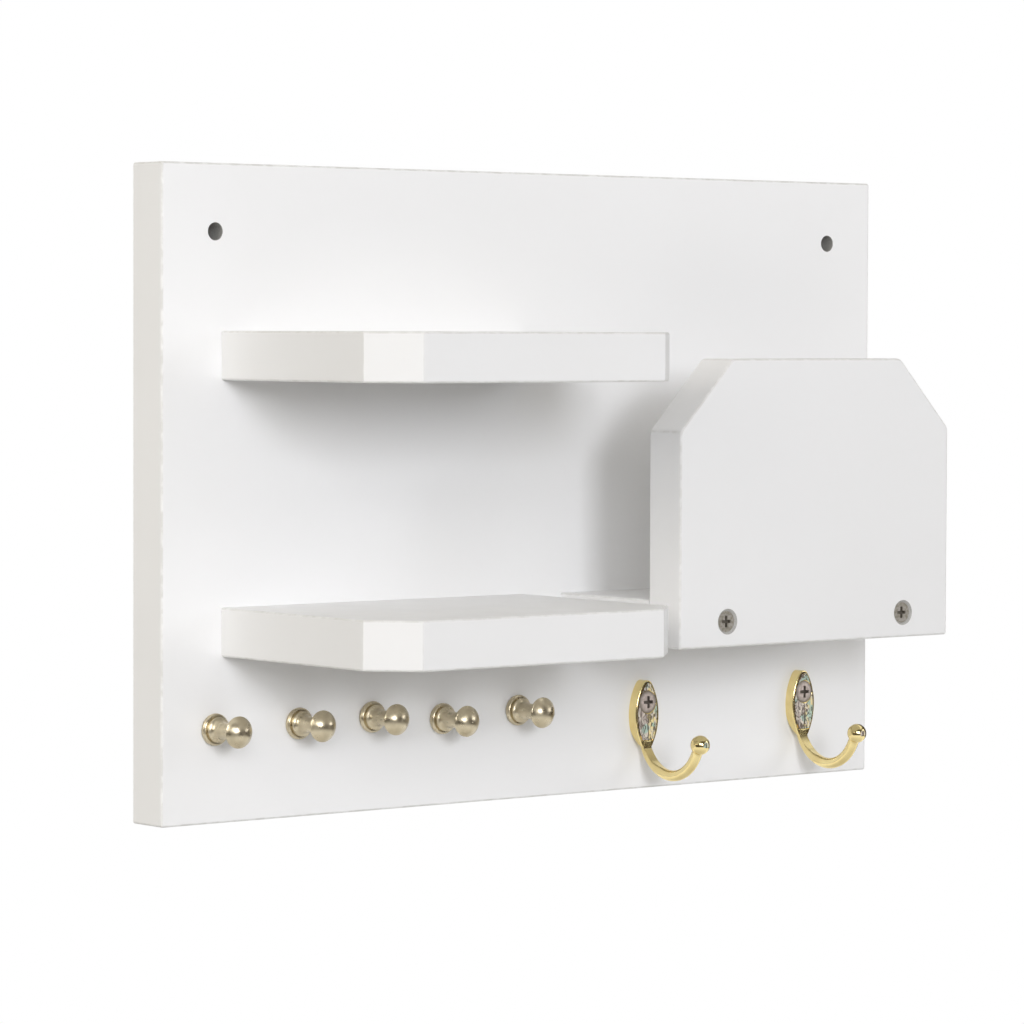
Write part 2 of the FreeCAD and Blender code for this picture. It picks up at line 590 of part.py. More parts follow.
def knob(doc, number):
    """A turned knob: round foot, groove and small bead, waisted neck, low dome with a thin rim."""
    label = f"knob_{number}"
    x, z = knob_place(number)
    body = new_body(doc, label, x, BOARD_FACE, z)
    sketch = new_sketch(body, f"{label}_profile", "XY_Plane")
    foot, rim = "sizes.knob_flange / 2", "sizes.knob_head / 2"
    bore, bore_end = f"{KNOB_BORE} / 2", "(sizes.knob_screw_grip + sizes.bore_end_clearance)"
    # Depths from the board, one below the other
    groove = "sizes.knob_bead"
    ledge = f"({groove} + sizes.knob_groove)"
    cove = f"({ledge} + sizes.knob_ledge)"
    neck = f"({cove} + sizes.knob_cove)"
    head = "sizes.knob_head_place"
    hollow = f"({head} - sizes.knob_head_hollow)"
    front = f"({head} + sizes.knob_head_rim)"
    apex = f"({front} + sizes.knob_dome)"
    # Half widths
    bead_edge = f"({foot} - sizes.knob_bead * {ROUND_RISE})"
    ledge_edge = f"({foot} - sizes.knob_groove_depth - sizes.knob_ledge * {ROUND_RISE})"
    neck_foot, neck_head = "sizes.knob_neck_foot / 2", "sizes.knob_neck_head / 2"
    dome_edge = f"({rim} - sizes.knob_head_step)"
    hollow_edge = f"({dome_edge} - sizes.knob_head_step)"
    dome_radius = f"(({dome_edge} ^ 2 + sizes.knob_dome ^ 2) / (2 * sizes.knob_dome))"
    outline(
        sketch,
        [
            (bore, "0"),
            (bead_edge, "0", f"sizes.knob_bead * {ROUND_RADIUS}", -1),
            (bead_edge, f"-{groove}"),
            (ledge_edge, f"-{groove}"),
            (ledge_edge, f"-{ledge}", f"sizes.knob_ledge * {ROUND_RADIUS}", -1),
            (ledge_edge, f"-{cove}", "sizes.knob_cove * sizes.knob_cove_sweep", 1),
            (neck_foot, f"-{neck}"),
            (neck_head, f"-{hollow}", "sizes.knob_head_hollow * sizes.knob_head_hollow_sweep", 1),
            (hollow_edge, f"-{head}"),
            (dome_edge, f"-{head}", f"sizes.knob_head_rim * {ROUND_RADIUS}", -1),
            (dome_edge, f"-{front}", dome_radius, -1),
            ("0", f"-{apex}"),
            ("0", f"-{bore_end}"),
            (bore, f"-{bore_end}"),
        ],
    )
    revolve(body, f"{label}_turned", sketch, "V_Axis")
    return body


def knob_screw(doc, number):
    """The machine screw that holds a knob from the back."""
    x, z = knob_place(number)
    depth = sunk("knob_screw_head", "knob_screw_countersink")
    length = f"(sizes.board_thickness - {depth} + sizes.knob_screw_grip)"
    return screw(doc, f"knob_screw_{number}", "knob_screw", length, (x, f"-{depth}", z), from_back=True)


def hook_oval(sketch, inset, cut=None):
    """The outline of a hook's plate, or a smaller one inside it."""
    oval(
        sketch,
        f"(sizes.hook_plate_width - 2 * {inset})",
        f"(sizes.hook_plate_top - {inset})",
        f"(sizes.hook_plate_top_end - {inset})",
        f"(sizes.hook_plate_top - sizes.hook_plate_height + {inset})",
        f"(sizes.hook_plate_bottom_end - {inset})",
        cut,
    )


def hook(doc, side):
    """A cast hook: oval plate with a ridged face inside a groove, heel that leaves the
    board, round arm with a flat on its inner side, ball end."""
    label = f"hook_{side}"
    x, z = hook_place(side)
    body = new_body(doc, label, x, BOARD_FACE, z)
    thickness = "sizes.hook_plate_thickness"
    crest = f"({thickness} + sizes.hook_ridge)"
    face_end = "(-sizes.hook_face_end)"

    plate = new_sketch(body, f"{label}_plate_outline", "XZ_Plane")
    hook_oval(plate, "0")
    extrude(body, "Pad", f"{label}_plate", plate, thickness)
    front = value(plate, f"-{thickness}")
    round_edges(body, f"{label}_soft_rim", lambda edge: lies_at(edge, "Y", front), "sizes.hook_rim_round")

    heel = new_sketch(body, f"{label}_heel_outline", "YZ_Plane")
    heel_start = "(-sizes.hook_heel_start)"
    bottom = "(sizes.hook_plate_top - sizes.hook_plate_height)"
    heel_round = "sizes.hook_heel_round"
    heel_depth = f"({heel_round} - sqrt({heel_round} ^ 2 - ({heel_start} - {bottom}) ^ 2))"
    outline(heel, [("0", heel_start, heel_round, -1), (f"-{heel_depth}", bottom), ("0", bottom)])
    extrude(body, "Pocket", f"{label}_heel", heel, "sizes.hook_plate_width", symmetric=True)

    groove = new_sketch(body, f"{label}_groove_outline", "XZ_Plane", thickness)
    hook_oval(groove, "sizes.hook_rim", face_end)
    extrude(body, "Pocket", f"{label}_groove", groove, "sizes.hook_groove_depth")
    face = new_sketch(body, f"{label}_face_outline", "XZ_Plane", f"{thickness} - sizes.hook_groove_depth")
    inset = "(sizes.hook_rim + sizes.hook_groove)"
    hook_oval(face, inset, f"({face_end} + sizes.hook_groove)")
    extrude(body, "Pad", f"{label}_face", face, "sizes.hook_ridge + sizes.hook_groove_depth")
    roof = new_sketch(body, f"{label}_roof_outline", "XY_Plane")
    half = "sizes.hook_plate_width / 2"
    outline(
        roof,
        [
            (f"-{half}", f"-{thickness}"),
            (f"-{half}", f"-2 * {thickness}"),
            (half, f"-2 * {thickness}"),
            (half, f"-{thickness}"),
            ("0", f"-{crest}"),
        ],
    )
    extrude(body, "Pocket", f"{label}_roof", roof, "2 * sizes.hook_plate_height", symmetric=True)

    # The sketch's own horizontal axis is the axis of the bend
    section = new_sketch(body, f"{label}_arm_section", "XY_Plane")
    section.AttachmentOffset = Placement(Vector(), Rotation(Vector(1, 0, 0), -FIRST_TILT))
    section.setExpression("AttachmentOffset.Base.y", "-sizes.hook_arm_place - sizes.hook_bend")
    section.setExpression("AttachmentOffset.Base.z", "-sizes.hook_bend_drop")
    section.setExpression("AttachmentOffset.Rotation.Angle", f"-{HOOK_START_ANGLE}")
    circle(section, "0", "sizes.hook_bend", "sizes.hook_arm")
    turn = f"180 deg - {HOOK_START_ANGLE} - {HOOK_RISE_ANGLE}"
    bend = revolve(body, f"{label}_bend", section, "H_Axis", turn)
    bend.Reversed = True
    doc.recompute()

    # The sketch's vertical axis runs from the ball back to the end of the bend
    profile = new_sketch(body, f"{label}_ball_profile", "YZ_Plane")
    profile.AttachmentOffset = Placement(Vector(), Rotation(Vector(0, 0, 1), FIRST_TILT))
    profile.setExpression("AttachmentOffset.Base.x", "-sizes.hook_ball_reach")
    profile.setExpression("AttachmentOffset.Base.y", "-sizes.hook_ball_drop")
    profile.setExpression("AttachmentOffset.Rotation.Angle", f"180 deg + {HOOK_RISE_ANGLE}")
    doc.recompute()
    radius, arm, neck = "sizes.hook_ball / 2", "sizes.hook_arm / 2", "sizes.hook_neck_round"
    neck_place = f"sqrt(({radius} + {neck}) ^ 2 - ({arm} + {neck}) ^ 2)"
    on_ball = f"({radius}) / ({radius} + {neck})"
    outline(
        profile,
        [
            ("0", f"-{radius}", radius, 1),
            (f"({arm} + {neck}) * {on_ball}", f"{neck_place} * {on_ball}", neck, -1),
            (arm, neck_place),
            (arm, HOOK_STRAIGHT),
            ("0", HOOK_STRAIGHT),
        ],
    )
    revolve(body, f"{label}_ball_end", profile, "V_Axis")

    # The flat carries on the front of the plate down to the knee, then runs out at the bottom of the bend
    flat = new_sketch(body, f"{label}_flat_outline", "YZ_Plane")
    bend_place = "(-sizes.hook_arm_place - sizes.hook_bend)"
    inner = "(sizes.hook_bend - sizes.hook_arm / 2)"
    bottom = f"(-sizes.hook_bend_drop - {inner})"
    knee = ("(-sizes.hook_knee_reach)", "(-sizes.hook_knee_drop)")
    across, along = f"({knee[0]} - {bend_place})", f"({knee[1]} - {bottom})"
    outline(
        flat,
        [
            (bend_place, bottom, f"({across} ^ 2 + {along} ^ 2) / (2 * {along})", 1),
            knee,
            (f"-{thickness}", face_end),
            (bend_place, face_end),
        ],
    )
    extrude(body, "Pocket", f"{label}_flat", flat, "sizes.hook_plate_width", symmetric=True)

    countersink = "sizes.hook_screw_head + 2 * sizes.hook_ridge"
    drill(body, f"{label}_screw_hole", [("0", "0")], HOOK_BORE, countersink=countersink, level=crest)
    return body


def hook_screw(doc, side):
    """The raised-head screw that holds a hook."""
    x, z = hook_place(side)
    place = (x, f"{BOARD_FACE} - sizes.hook_plate_thickness - sizes.seat_clearance", z)
    return screw(doc, f"hook_screw_{side}", "hook_screw", "sizes.hook_screw_length", place)


def check(doc, bodies):
    """Stop if a feature failed, did nothing, or a piece isn't one valid solid."""
    for item in doc.Objects:
        if {"Invalid", "Error"} & set(item.State):
            raise RuntimeError(f"{item.Name} failed: {item.State}")
    for body in bodies:
        shape = body.Shape
        if shape.isNull() or not shape.isValid() or len(shape.Solids) != 1:
            raise RuntimeError(f"{body.Label} is not one valid solid")
        volume = 0.0
        for feature in body.Group:
            if not feature.isDerivedFrom("PartDesign::Feature"):
                continue
            change = feature.Shape.Volume - volume
            volume = feature.Shape.Volume
            adds = feature.TypeId.split("::")[1] not in ("Pocket", "Hole", "Groove", "Fillet")
            if (change > 0) != adds or abs(change) < NEAR:
                raise RuntimeError(f"{feature.Name} changes the volume by {change}")


def main():
    doc = FreeCAD.newDocument("wall_key_holder")
    make_sheet(doc)
    bodies = [back_board(doc)]
    bodies.append(shelf(doc, "upper_shelf", UPPER_SHELF_BOTTOM))
    bodies.append(shelf(doc, "lower_shelf", LOWER_SHELF_BOTTOM))
    bodies.append(letter_base(doc))
    bodies.append(letter_front(doc))
    bodies += wood_screws(doc)
    for number in KNOBS:
        bodies.append(knob(doc, number))
        bodies.append(knob_screw(doc, number))
    for side in SIDES:
        bodies.append(hook(doc, side))
        bodies.append(hook_screw(doc, side))
    doc.recompute()
    check(doc, bodies)
    os.makedirs("parts", exist_ok=True)
    for body in bodies:
        body.Shape.exportStep(f"parts/{body.Label}.step")


main()
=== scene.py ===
import fnmatch
import json
import math
from collections import namedtuple

import bpy
from bpy.props import FloatProperty, FloatVectorProperty, PointerProperty
from mathutils import Matrix, Vector


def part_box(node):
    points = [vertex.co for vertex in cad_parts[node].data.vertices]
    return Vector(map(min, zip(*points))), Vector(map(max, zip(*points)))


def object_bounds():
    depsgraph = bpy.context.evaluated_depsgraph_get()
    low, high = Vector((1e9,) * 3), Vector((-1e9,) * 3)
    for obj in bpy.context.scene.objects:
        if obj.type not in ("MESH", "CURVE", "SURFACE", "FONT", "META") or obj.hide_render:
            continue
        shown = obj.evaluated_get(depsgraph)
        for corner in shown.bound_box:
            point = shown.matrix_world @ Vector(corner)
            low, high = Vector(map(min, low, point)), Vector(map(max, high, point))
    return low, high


bl_info = {
    "name": "Wall Key Holder",
    "version": (1, 0, 0),
    "blender": (4, 5, 0),
    "location": "3D View > Sidebar > Key Holder",
    "description": "Finishes a lacquered key holder with brass knobs and hooks, and sets up its studio",
    "category": "Object",
}

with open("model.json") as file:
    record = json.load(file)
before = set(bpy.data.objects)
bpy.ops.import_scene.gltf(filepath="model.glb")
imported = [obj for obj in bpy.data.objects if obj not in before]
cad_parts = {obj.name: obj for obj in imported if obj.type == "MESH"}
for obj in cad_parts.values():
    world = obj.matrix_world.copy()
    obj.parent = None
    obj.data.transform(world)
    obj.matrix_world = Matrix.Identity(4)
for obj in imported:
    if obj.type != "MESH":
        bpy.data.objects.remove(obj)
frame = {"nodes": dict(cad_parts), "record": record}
CAD_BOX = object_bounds()
NODES = frame["nodes"]

MM = 0.001
WHITE = (1.0, 1.0, 1.0)

# Outward direction of the cut corners: shelves in plan, letter holder from the front
SHELF_CUT = (1.0, 1.0, 0.0)
LETTER_CUT = (27.2, 0.0, 26.0)
NO_CUT = (0.0, 0.0, 1.0)

# Bare board shows a little past the wall of a screw hole, and in the countersinks
HOLE_MARGIN = 0.05 * MM
SINK_RADIUS = 4.85 * MM

# Soft limits on a hook, each from none to full. Heights are from the screw, depths from
# the board, and the last is how squarely a surface faces the front.
FACE_END = (-15.6 * MM, -15.1 * MM)
GROOVE_END = (-13.4 * MM, -13.0 * MM)
GROOVE_FLOOR = (-4.3 * MM, -4.2 * MM)
FACE_RELIEF = (-4.38 * MM, -4.43 * MM)
FACING_FRONT = (-0.9, -0.97)

# Tints of the lamps, of the light from all around and of the studio's dark front
COOL = (0.975, 0.99, 1.04)
WARM = (1.04, 1.0, 0.92)
AROUND = (1.05, 1.0, 0.90)
DARK_FRONT = (1.0, 0.86, 0.72)

# Where each soft box hangs, in degrees and metres, seen from the middle of the object
SoftBox = namedtuple("SoftBox", "name azimuth elevation distance size tint")
SOFT_BOXES = (
    SoftBox("key", azimuth=-17.0, elevation=11.0, distance=3.0, size=0.8, tint=COOL),
    SoftBox("fill", azimuth=-38.0, elevation=16.0, distance=3.0, size=1.0, tint=COOL),
    SoftBox("left", azimuth=-84.0, elevation=22.0, distance=2.3, size=1.2, tint=WARM),
    SoftBox("right", azimuth=55.0, elevation=15.0, distance=2.5, size=1.2, tint=COOL),
)


# Helpers for node trees


def add(tree, kind, inputs=None, **settings):
    """A node with its settings, and with each input set to a value or linked to a socket."""
    node = tree.nodes.new(f"ShaderNode{kind}")
    for name, value in settings.items():
        setattr(node, name, value)
    for name, value in (inputs or {}).items():
        if isinstance(value, bpy.types.NodeSocket):
            tree.links.new(value, node.inputs[name])
        else:
            node.inputs[name].default_value = value
    return node


def maths(tree, operation, first, second=0.0):
    """The result of one operation on two numbers or sockets."""
    return add(tree, "Math", {0: first, 1: second}, operation=operation).outputs[0]


def product(tree, first, *factors):
    """Numbers or sockets, multiplied."""
    for factor in factors:
        first = maths(tree, "MULTIPLY", first, factor)
    return first


def vector_maths(tree, operation, first, second=None):
    """One operation on vectors: the number for dot products and lengths, else the vector."""
    inputs = {0: first} if second is None else {0: first, 1: second}
    node = add(tree, "VectorMath", inputs, operation=operation)
    return node.outputs["Value" if operation in {"DOT_PRODUCT", "LENGTH"} else "Vector"]


def ramp(tree, value, low, high, start=0.0, end=1.0):
    """Ease from start to end while the value goes from low to high."""
    inputs = {
        "Value": value,
        "From Min": low,
        "From Max": high,
        "To Min": start,
        "To Max": end,
    }
    return add(tree, "MapRange", inputs, interpolation_type="SMOOTHSTEP").outputs["Result"]


def blend(tree, factor, first, second):
    """A colour between two colours."""
    node = add(tree, "Mix", data_type="RGBA")
    for socket, value in ((node.inputs[0], factor), (node.inputs[6], first), (node.inputs[7], second)):
        if isinstance(value, bpy.types.NodeSocket):
            tree.links.new(value, socket)
        elif isinstance(value, float):
            socket.default_value = value
        else:
            socket.default_value = (*value, 1.0)
    return node.outputs[2]


def noise(tree, vector, scale, detail, distortion=0.0):
    """A noise value around one half. The scale is in waves per unit of the vector."""
    inputs = {"Vector": vector, "Scale": scale, "Detail": detail, "Distortion": distortion}
    return add(tree, "TexNoise", inputs).outputs[0]


def patches(tree, vector, scale, detail, low=0.35, high=0.65, start=0.0, end=1.0, distortion=0.0):
    """Soft patches, from start to end while the noise goes from low to high."""
    return ramp(tree, noise(tree, vector, scale, detail, distortion), low, high, start, end)


def place(tree):
    """The point on the piece, in metres from the origin of the whole object."""
    return add(tree, "TexCoord").outputs["Object"]


def normal(tree):
    """The direction that the surface faces."""
    return add(tree, "NewGeometry").outputs["Normal"]


def new_group(name, inputs, outputs):
    """A node group with these inputs and outputs: the group and its two end nodes."""
    group = bpy.data.node_groups.new(name, "ShaderNodeTree")
    for label, kind, default in inputs:
        socket = group.interface.new_socket(label, in_out="INPUT", socket_type=f"NodeSocket{kind}")
        socket.default_value = default
    for label, kind in outputs:
        group.interface.new_socket(label, in_out="OUTPUT", socket_type=f"NodeSocket{kind}")
    first, last = group.nodes.new("NodeGroupInput"), group.nodes.new("NodeGroupOutput")
    return group, first.outputs, last.inputs


def use_group(tree, group, **inputs):
    """Place a group in a tree, with its inputs named in small letters."""
    node = tree.nodes.new("ShaderNodeGroup")
    node.node_tree = group
    for name, value in inputs.items():
        socket = node.inputs[name.replace("_", " ").capitalize()]
        if isinstance(value, bpy.types.NodeSocket):
            tree.links.new(value, socket)
        else:
            socket.default_value = value
    return node.outputs


def new_material(name, constants):
    """A material with one Principled shader and its constant inputs."""
    material = bpy.data.materials.new(name)
    material.use_nodes = True
    tree = material.node_tree
    tree.nodes.clear()
    shader = tree.nodes.new("ShaderNodeBsdfPrincipled")
    output = tree.nodes.new("ShaderNodeOutputMaterial")
    tree.links.new(shader.outputs["BSDF"], output.inputs["Surface"])
    for label, value in constants.items():
        shader.inputs[label].default_value = value
    return material, tree, shader


def connect(tree, shader, colour, roughness, height, depth):
    """Feed a shader's colour, roughness and bump. The depth is the bump's real height."""
    bump = add(tree, "Bump", {"Height": height, "Distance": depth, "Strength": 1.0})
    tree.links.new(colour, shader.inputs["Base Color"])
    tree.links.new(roughness, shader.inputs["Roughness"])
    tree.links.new(bump.outputs["Normal"], shader.inputs["Normal"])


def finish_node(name, material):
    """Give a piece of the frame its material."""
    slots = NODES[name].data.materials
    slots.clear()
    slots.append(material)


# Effects that several materials share


def soft_unevenness():
    """Gentle waves of a sprayed, cast or polished skin, with a finer grain on top."""
    inputs = [("Wave", "Float", 3 * MM), ("Grain", "Float", 0.5 * MM), ("Share", "Float", 0.3)]
    group, given, result = new_group("Soft unevenness", inputs, [("Height", "Float")])
    waves = noise(group, place(group), maths(group, "DIVIDE", 1.0, given["Wave"]), detail=1.0)
    grain = noise(group, place(group), maths(group, "DIVIDE", 1.0, given["Grain"]), detail=2.0)
    finer = product(group, grain, given["Share"])
    group.links.new(maths(group, "ADD", waves, finer), result["Height"])
    return group


def eased_edges():
    """One on rounded edges, zero on flat faces and on the faces of cut corners."""
    inputs = [("Cut", "Vector", NO_CUT), ("Mirrored cut", "Vector", NO_CUT)]
    group, given, result = new_group("Eased edges", inputs, [("Mask", "Float")])
    facing = normal(group)
    axes = add(group, "SeparateXYZ", {0: vector_maths(group, "ABSOLUTE", facing)}).outputs
    flat = maths(group, "MAXIMUM", maths(group, "MAXIMUM", axes[0], axes[1]), axes[2])
    for cut in ("Cut", "Mirrored cut"):
        along = vector_maths(group, "DOT_PRODUCT", facing, vector_maths(group, "NORMALIZE", given[cut]))
        flat = maths(group, "MAXIMUM", flat, maths(group, "ABSOLUTE", along))
    # A surface counts as flat that faces within 6 degrees of a face, as rounded past 22
    still_flat, rounded = 0.995, 0.93
    group.links.new(ramp(group, flat, still_flat, rounded), result["Mask"])
    return group


def stray_specks():
    """Sparse small specks, such as dust under lacquer."""
    inputs = [("Spacing", "Float", 20 * MM), ("Size", "Float", 0.3 * MM)]
    group, given, result = new_group("Stray specks", inputs, [("Mask", "Float")])
    scale = maths(group, "DIVIDE", 1.0, given["Spacing"])
    cells = add(group, "TexVoronoi", {"Vector": place(group), "Scale": scale})
    reach = product(group, cells.outputs["Distance"], given["Spacing"])
    mask = maths(group, "LESS_THAN", reach, given["Size"])
    group.links.new(mask, result["Mask"])
    return group


def rubbed_streaks():
    """Fine streaks from handling and polishing, stretched across the piece."""
    inputs = [("Width", "Float", 0.4 * MM), ("Length", "Float", 6 * MM)]
    group, given, result = new_group("Rubbed streaks", inputs, [("Mask", "Float")])
    across = maths(group, "DIVIDE", 1.0, given["Width"])
    along = maths(group, "DIVIDE", 1.0, given["Length"])
    stretch = add(group, "CombineXYZ", {0: across, 1: along, 2: across}).outputs[0]
    stretched = vector_maths(group, "MULTIPLY", place(group), stretch)
    streaks = patches(group, stretched, scale=1.0, detail=3.0, low=0.4, high=0.7)
    group.links.new(streaks, result["Mask"])
    return group


def turned_rings():
    """Rings that the lathe tool leaves around an axis that runs front to back."""
    inputs = [("Axis", "Vector", (0.0, 0.0, 0.0)), ("Pitch", "Float", 0.25 * MM)]
    group, given, result = new_group("Turned rings", inputs, [("Height", "Float")])
    from_axis = vector_maths(group, "SUBTRACT", place(group), given["Axis"])
    level = vector_maths(group, "MULTIPLY", from_axis, (1.0, 0.0, 1.0))
    radius = vector_maths(group, "LENGTH", level)
    depth = add(group, "SeparateXYZ", {0: place(group)}).outputs[1]
    turns = maths(group, "DIVIDE", maths(group, "ADD", radius, depth), given["Pitch"])
    along = add(group, "CombineXYZ", {0: turns}).outputs[0]
    group.links.new(noise(group, along, scale=1.0, detail=1.0), result["Height"])
    return group


# Finishes


def lacquer(name, finish, effects, white, cut=NO_CUT, holes=()):
    """White lacquer on board: fine orange peel, painted shade in patches on the rounded edges, a
    few specks. In the holes, each given by its centre and radius, the bare board shows."""
    material, tree, shader = new_material(name, {"Specular IOR Level": 0.4})
    point = place(tree)
    mirrored = (-cut[0], cut[1], cut[2])
    edge = use_group(tree, effects["edges"], cut=cut, mirrored_cut=mirrored)["Mask"]
    patchy = patches(tree, point, scale=260.0, detail=3.0, start=0.35)
    drift = patches(tree, point, scale=9.0, detail=1.0, low=0.3, high=0.7, end=finish.drift)
    colour = blend(tree, drift, white, finish.edge)
    # Painted shade: the rounded edges take a darker grey, in patches
    colour = blend(tree, product(tree, edge, patchy), colour, finish.edge)
    specks = use_group(tree, effects["specks"], spacing=45 * MM, size=0.22 * MM)["Mask"]
    colour = blend(tree, product(tree, specks, finish.speck_cover), colour, finish.speck)
    fibres = patches(tree, point, scale=2500.0, detail=2.0)
    bare = blend(tree, fibres, finish.bore, finish.bore_shade)
    for centre, radius in holes:
        spot = vector_maths(tree, "SUBTRACT", point, centre)
        reach = vector_maths(tree, "LENGTH", vector_maths(tree, "MULTIPLY", spot, (1.0, 0.0, 1.0)))
        colour = blend(tree, maths(tree, "LESS_THAN", reach, radius), colour, bare)
    peel = use_group(tree, effects["unevenness"], wave=finish.peel_size, grain=0.35 * MM, share=0.15)
    glossy, dull = finish.roughness - 0.04, finish.roughness + 0.05
    gloss = patches(tree, point, scale=60.0, detail=3.0, low=0.3, high=0.7, start=glossy, end=dull)
    connect(tree, shader, colour, gloss, peel["Height"], finish.peel_depth)
    return material


def satin_brass(name, finish, effects, axis):
    """Turned brass with a satin plating: fine rings, darker rubbed patches."""
    material, tree, shader = new_material(name, {"Metallic": 1.0})
    rings = use_group(tree, effects["rings"], axis=axis, pitch=finish.ring_pitch)["Height"]
    waves = use_group(tree, effects["unevenness"], wave=2.5 * MM, grain=0.3 * MM, share=0.25)["Height"]
    patchy = patches(tree, place(tree), scale=220.0, detail=3.0, high=0.7)
    colour = blend(tree, patchy, finish.knob, finish.knob_shade)
    glossy, dull = finish.knob_roughness - 0.05, finish.knob_roughness + 0.06
    gloss = ramp(tree, waves, low=0.4, high=0.9, start=glossy, end=dull)
    height = maths(tree, "ADD", product(tree, rings, finish.ring_height), waves)
    connect(tree, shader, colour, gloss, height, finish.knob_wave)
    return material


def painted_plate_reflections(tree, point, local, finish):
    """Painted reflections on a plate's face: their colour, and a mask of their dark lines."""
    across, _, rise = add(tree, "SeparateXYZ", {0: local}).outputs
    rough = maths(tree, "SUBTRACT", noise(tree, point, scale=450.0, detail=3.0), 0.5)
    wander = product(tree, rough, 4 * MM)
    # Painted reflections: reddish on the left of a wandering border, brass on the right, pale cream patches
    # on both
    softness = 0.3 * MM
    left = ramp(tree, maths(tree, "ADD", across, wander), softness, -softness)
    drawn_down = vector_maths(tree, "MULTIPLY", point, (1.0, 1.0, 0.4))
    cream_patches = patches(tree, drawn_down, scale=900.0, detail=2.0, low=0.42, high=0.58, distortion=0.8)
    pale = blend(tree, cream_patches, finish.hook, finish.painted_cream)
    dark = blend(tree, cream_patches, finish.painted_rose, finish.painted_cream)
    painted_reflection = blend(tree, left, pale, dark)
    moved = vector_maths(tree, "ADD", point, finish.painted_green_place)
    # A green painted reflection, in patches
    green = patches(tree, moved, scale=190.0, detail=1.0, low=0.60, high=0.65, end=0.85)
    painted_reflection = blend(tree, green, painted_reflection, finish.painted_green)
    # Dark lines of the painted reflections: curling ones, and a steadier line down the middle below the
    # screw
    drawn_down = vector_maths(tree, "MULTIPLY", point, (1.0, 1.0, 0.5))
    curls = noise(tree, drawn_down, scale=520.0, detail=1.5, distortion=1.5)
    from_line = maths(tree, "ABSOLUTE", maths(tree, "SUBTRACT", curls, 0.5))
    curling = ramp(tree, from_line, low=0.07, high=0.02, end=0.9)
    steadier = product(tree, wander, 0.3)
    from_middle = maths(tree, "ABSOLUTE", maths(tree, "ADD", across, steadier))
    line = ramp(tree, from_middle, low=0.35 * MM, high=0.15 * MM)
    below_screw = ramp(tree, rise, low=-3.5 * MM, high=-4.5 * MM)
    return painted_reflection, maths(tree, "MAXIMUM", curling, product(tree, line, below_screw))


def cast_brass(name, finish, effects, screw):
    """Polished cast brass. The plate's face keeps a rough skin with painted reflections on it, and
    painted shade darkens the groove around it. The screw's place is where the hook is fixed."""
    material, tree, shader = new_material(name, {"Metallic": 1.0})
    point = place(tree)
    local = vector_maths(tree, "SUBTRACT", point, screw)
    _, depth, rise = add(tree, "SeparateXYZ", {0: local}).outputs
    facing = add(tree, "SeparateXYZ", {0: normal(tree)}).outputs[1]
    outward = ramp(tree, facing, *FACING_FRONT)
    floor = ramp(tree, depth, *GROOVE_FLOOR)
    # Where painted shade falls: the groove's floor around the face, facing the front
    groove = product(tree, floor, outward, ramp(tree, rise, *GROOVE_END))
    raised = ramp(tree, depth, *FACE_RELIEF)
    face = product(tree, raised, outward, ramp(tree, rise, *FACE_END))
    tarnish = patches(tree, point, scale=160.0, detail=2.0, low=0.3, high=0.7)
    colour = blend(tree, tarnish, finish.hook, finish.hook_shade)
    painted_reflection, reflection_lines = painted_plate_reflections(tree, point, local, finish)
    # The face takes the painted reflections
    colour = blend(tree, face, colour, painted_reflection)
    # Painted shade in the groove, and the dark lines of the painted reflections on the face
    painted_darks = maths(tree, "MAXIMUM", groove, product(tree, face, reflection_lines))
    colour = blend(tree, painted_darks, colour, finish.painted_dark)
    waves = use_group(tree, effects["unevenness"], wave=finish.cast_size, grain=1.1 * MM, share=0.25)
    # The dark lines of the painted reflections are also bumped in
    height = maths(tree, "ADD", waves["Height"], product(tree, reflection_lines, face, -finish.line_depth))
    streaks = use_group(tree, effects["streaks"], width=0.25 * MM, length=3 * MM)["Mask"]
    rough = product(tree, maths(tree, "MAXIMUM", face, groove), finish.skin_roughness)
    rough = maths(tree, "ADD", rough, finish.hook_roughness)
    gloss = maths(tree, "ADD", product(tree, streaks, finish.streak_roughness), rough)
    # Where the painted reflections lie, the face is less metallic
    bare = maths(tree, "SUBTRACT", 1.0, product(tree, face, finish.painted_cover))
    tree.links.new(bare, shader.inputs["Metallic"])
    connect(tree, shader, colour, gloss, height, finish.cast_depth)
    return material


def screw_steel(name, finish, effects, tones, head, sunk):
    """Plated steel, with painted shade down in the cross recess. The head's place is its outer face,
    and sunk is the direction into the screw."""
    material, tree, shader = new_material(name, {"Metallic": finish.plating})
    point = place(tree)
    depth = vector_maths(tree, "DOT_PRODUCT", vector_maths(tree, "SUBTRACT", point, head), sunk)
    recess_shade = ramp(tree, depth, low=0.15 * MM, high=0.6 * MM)
    colour = blend(tree, patches(tree, point, scale=700.0, detail=4.0), *tones)
    # Painted shade at the bottom of the cross recess
    colour = blend(tree, product(tree, recess_shade, finish.recess_shade_cover), colour, finish.recess_shade)
    streaks = use_group(tree, effects["streaks"], width=0.12 * MM, length=0.6 * MM)["Mask"]
    rough = product(tree, streaks, finish.streak_roughness)
    gloss = maths(tree, "ADD", rough, finish.steel_roughness)
    uneven = use_group(tree, effects["unevenness"], wave=1.2 * MM, grain=0.25 * MM, share=0.5)
    connect(tree, shader, colour, gloss, uneven["Height"], finish.steel_depth)
    return material


# Settings


def tone(name, description, colour):
    """A colour that a user may change."""
    return FloatVectorProperty(
        name=name, description=description, subtype="COLOR", size=3, min=0.0, max=1.0, default=colour
    )


def length(name, description, metres):
    """A length that a user may change."""
    return FloatProperty(name=name, description=description, unit="LENGTH", min=0.0, default=metres)


def share(name, description, part):
    """A factor between nothing and one."""
    return FloatProperty(
        name=name, description=description, subtype="FACTOR", min=0.0, max=1.0, default=part
    )


def level(name, description, amount):
    """How bright a lamp makes a white surface that faces it, where one is full white."""
    return FloatProperty(name=name, description=description, min=0.0, default=amount)


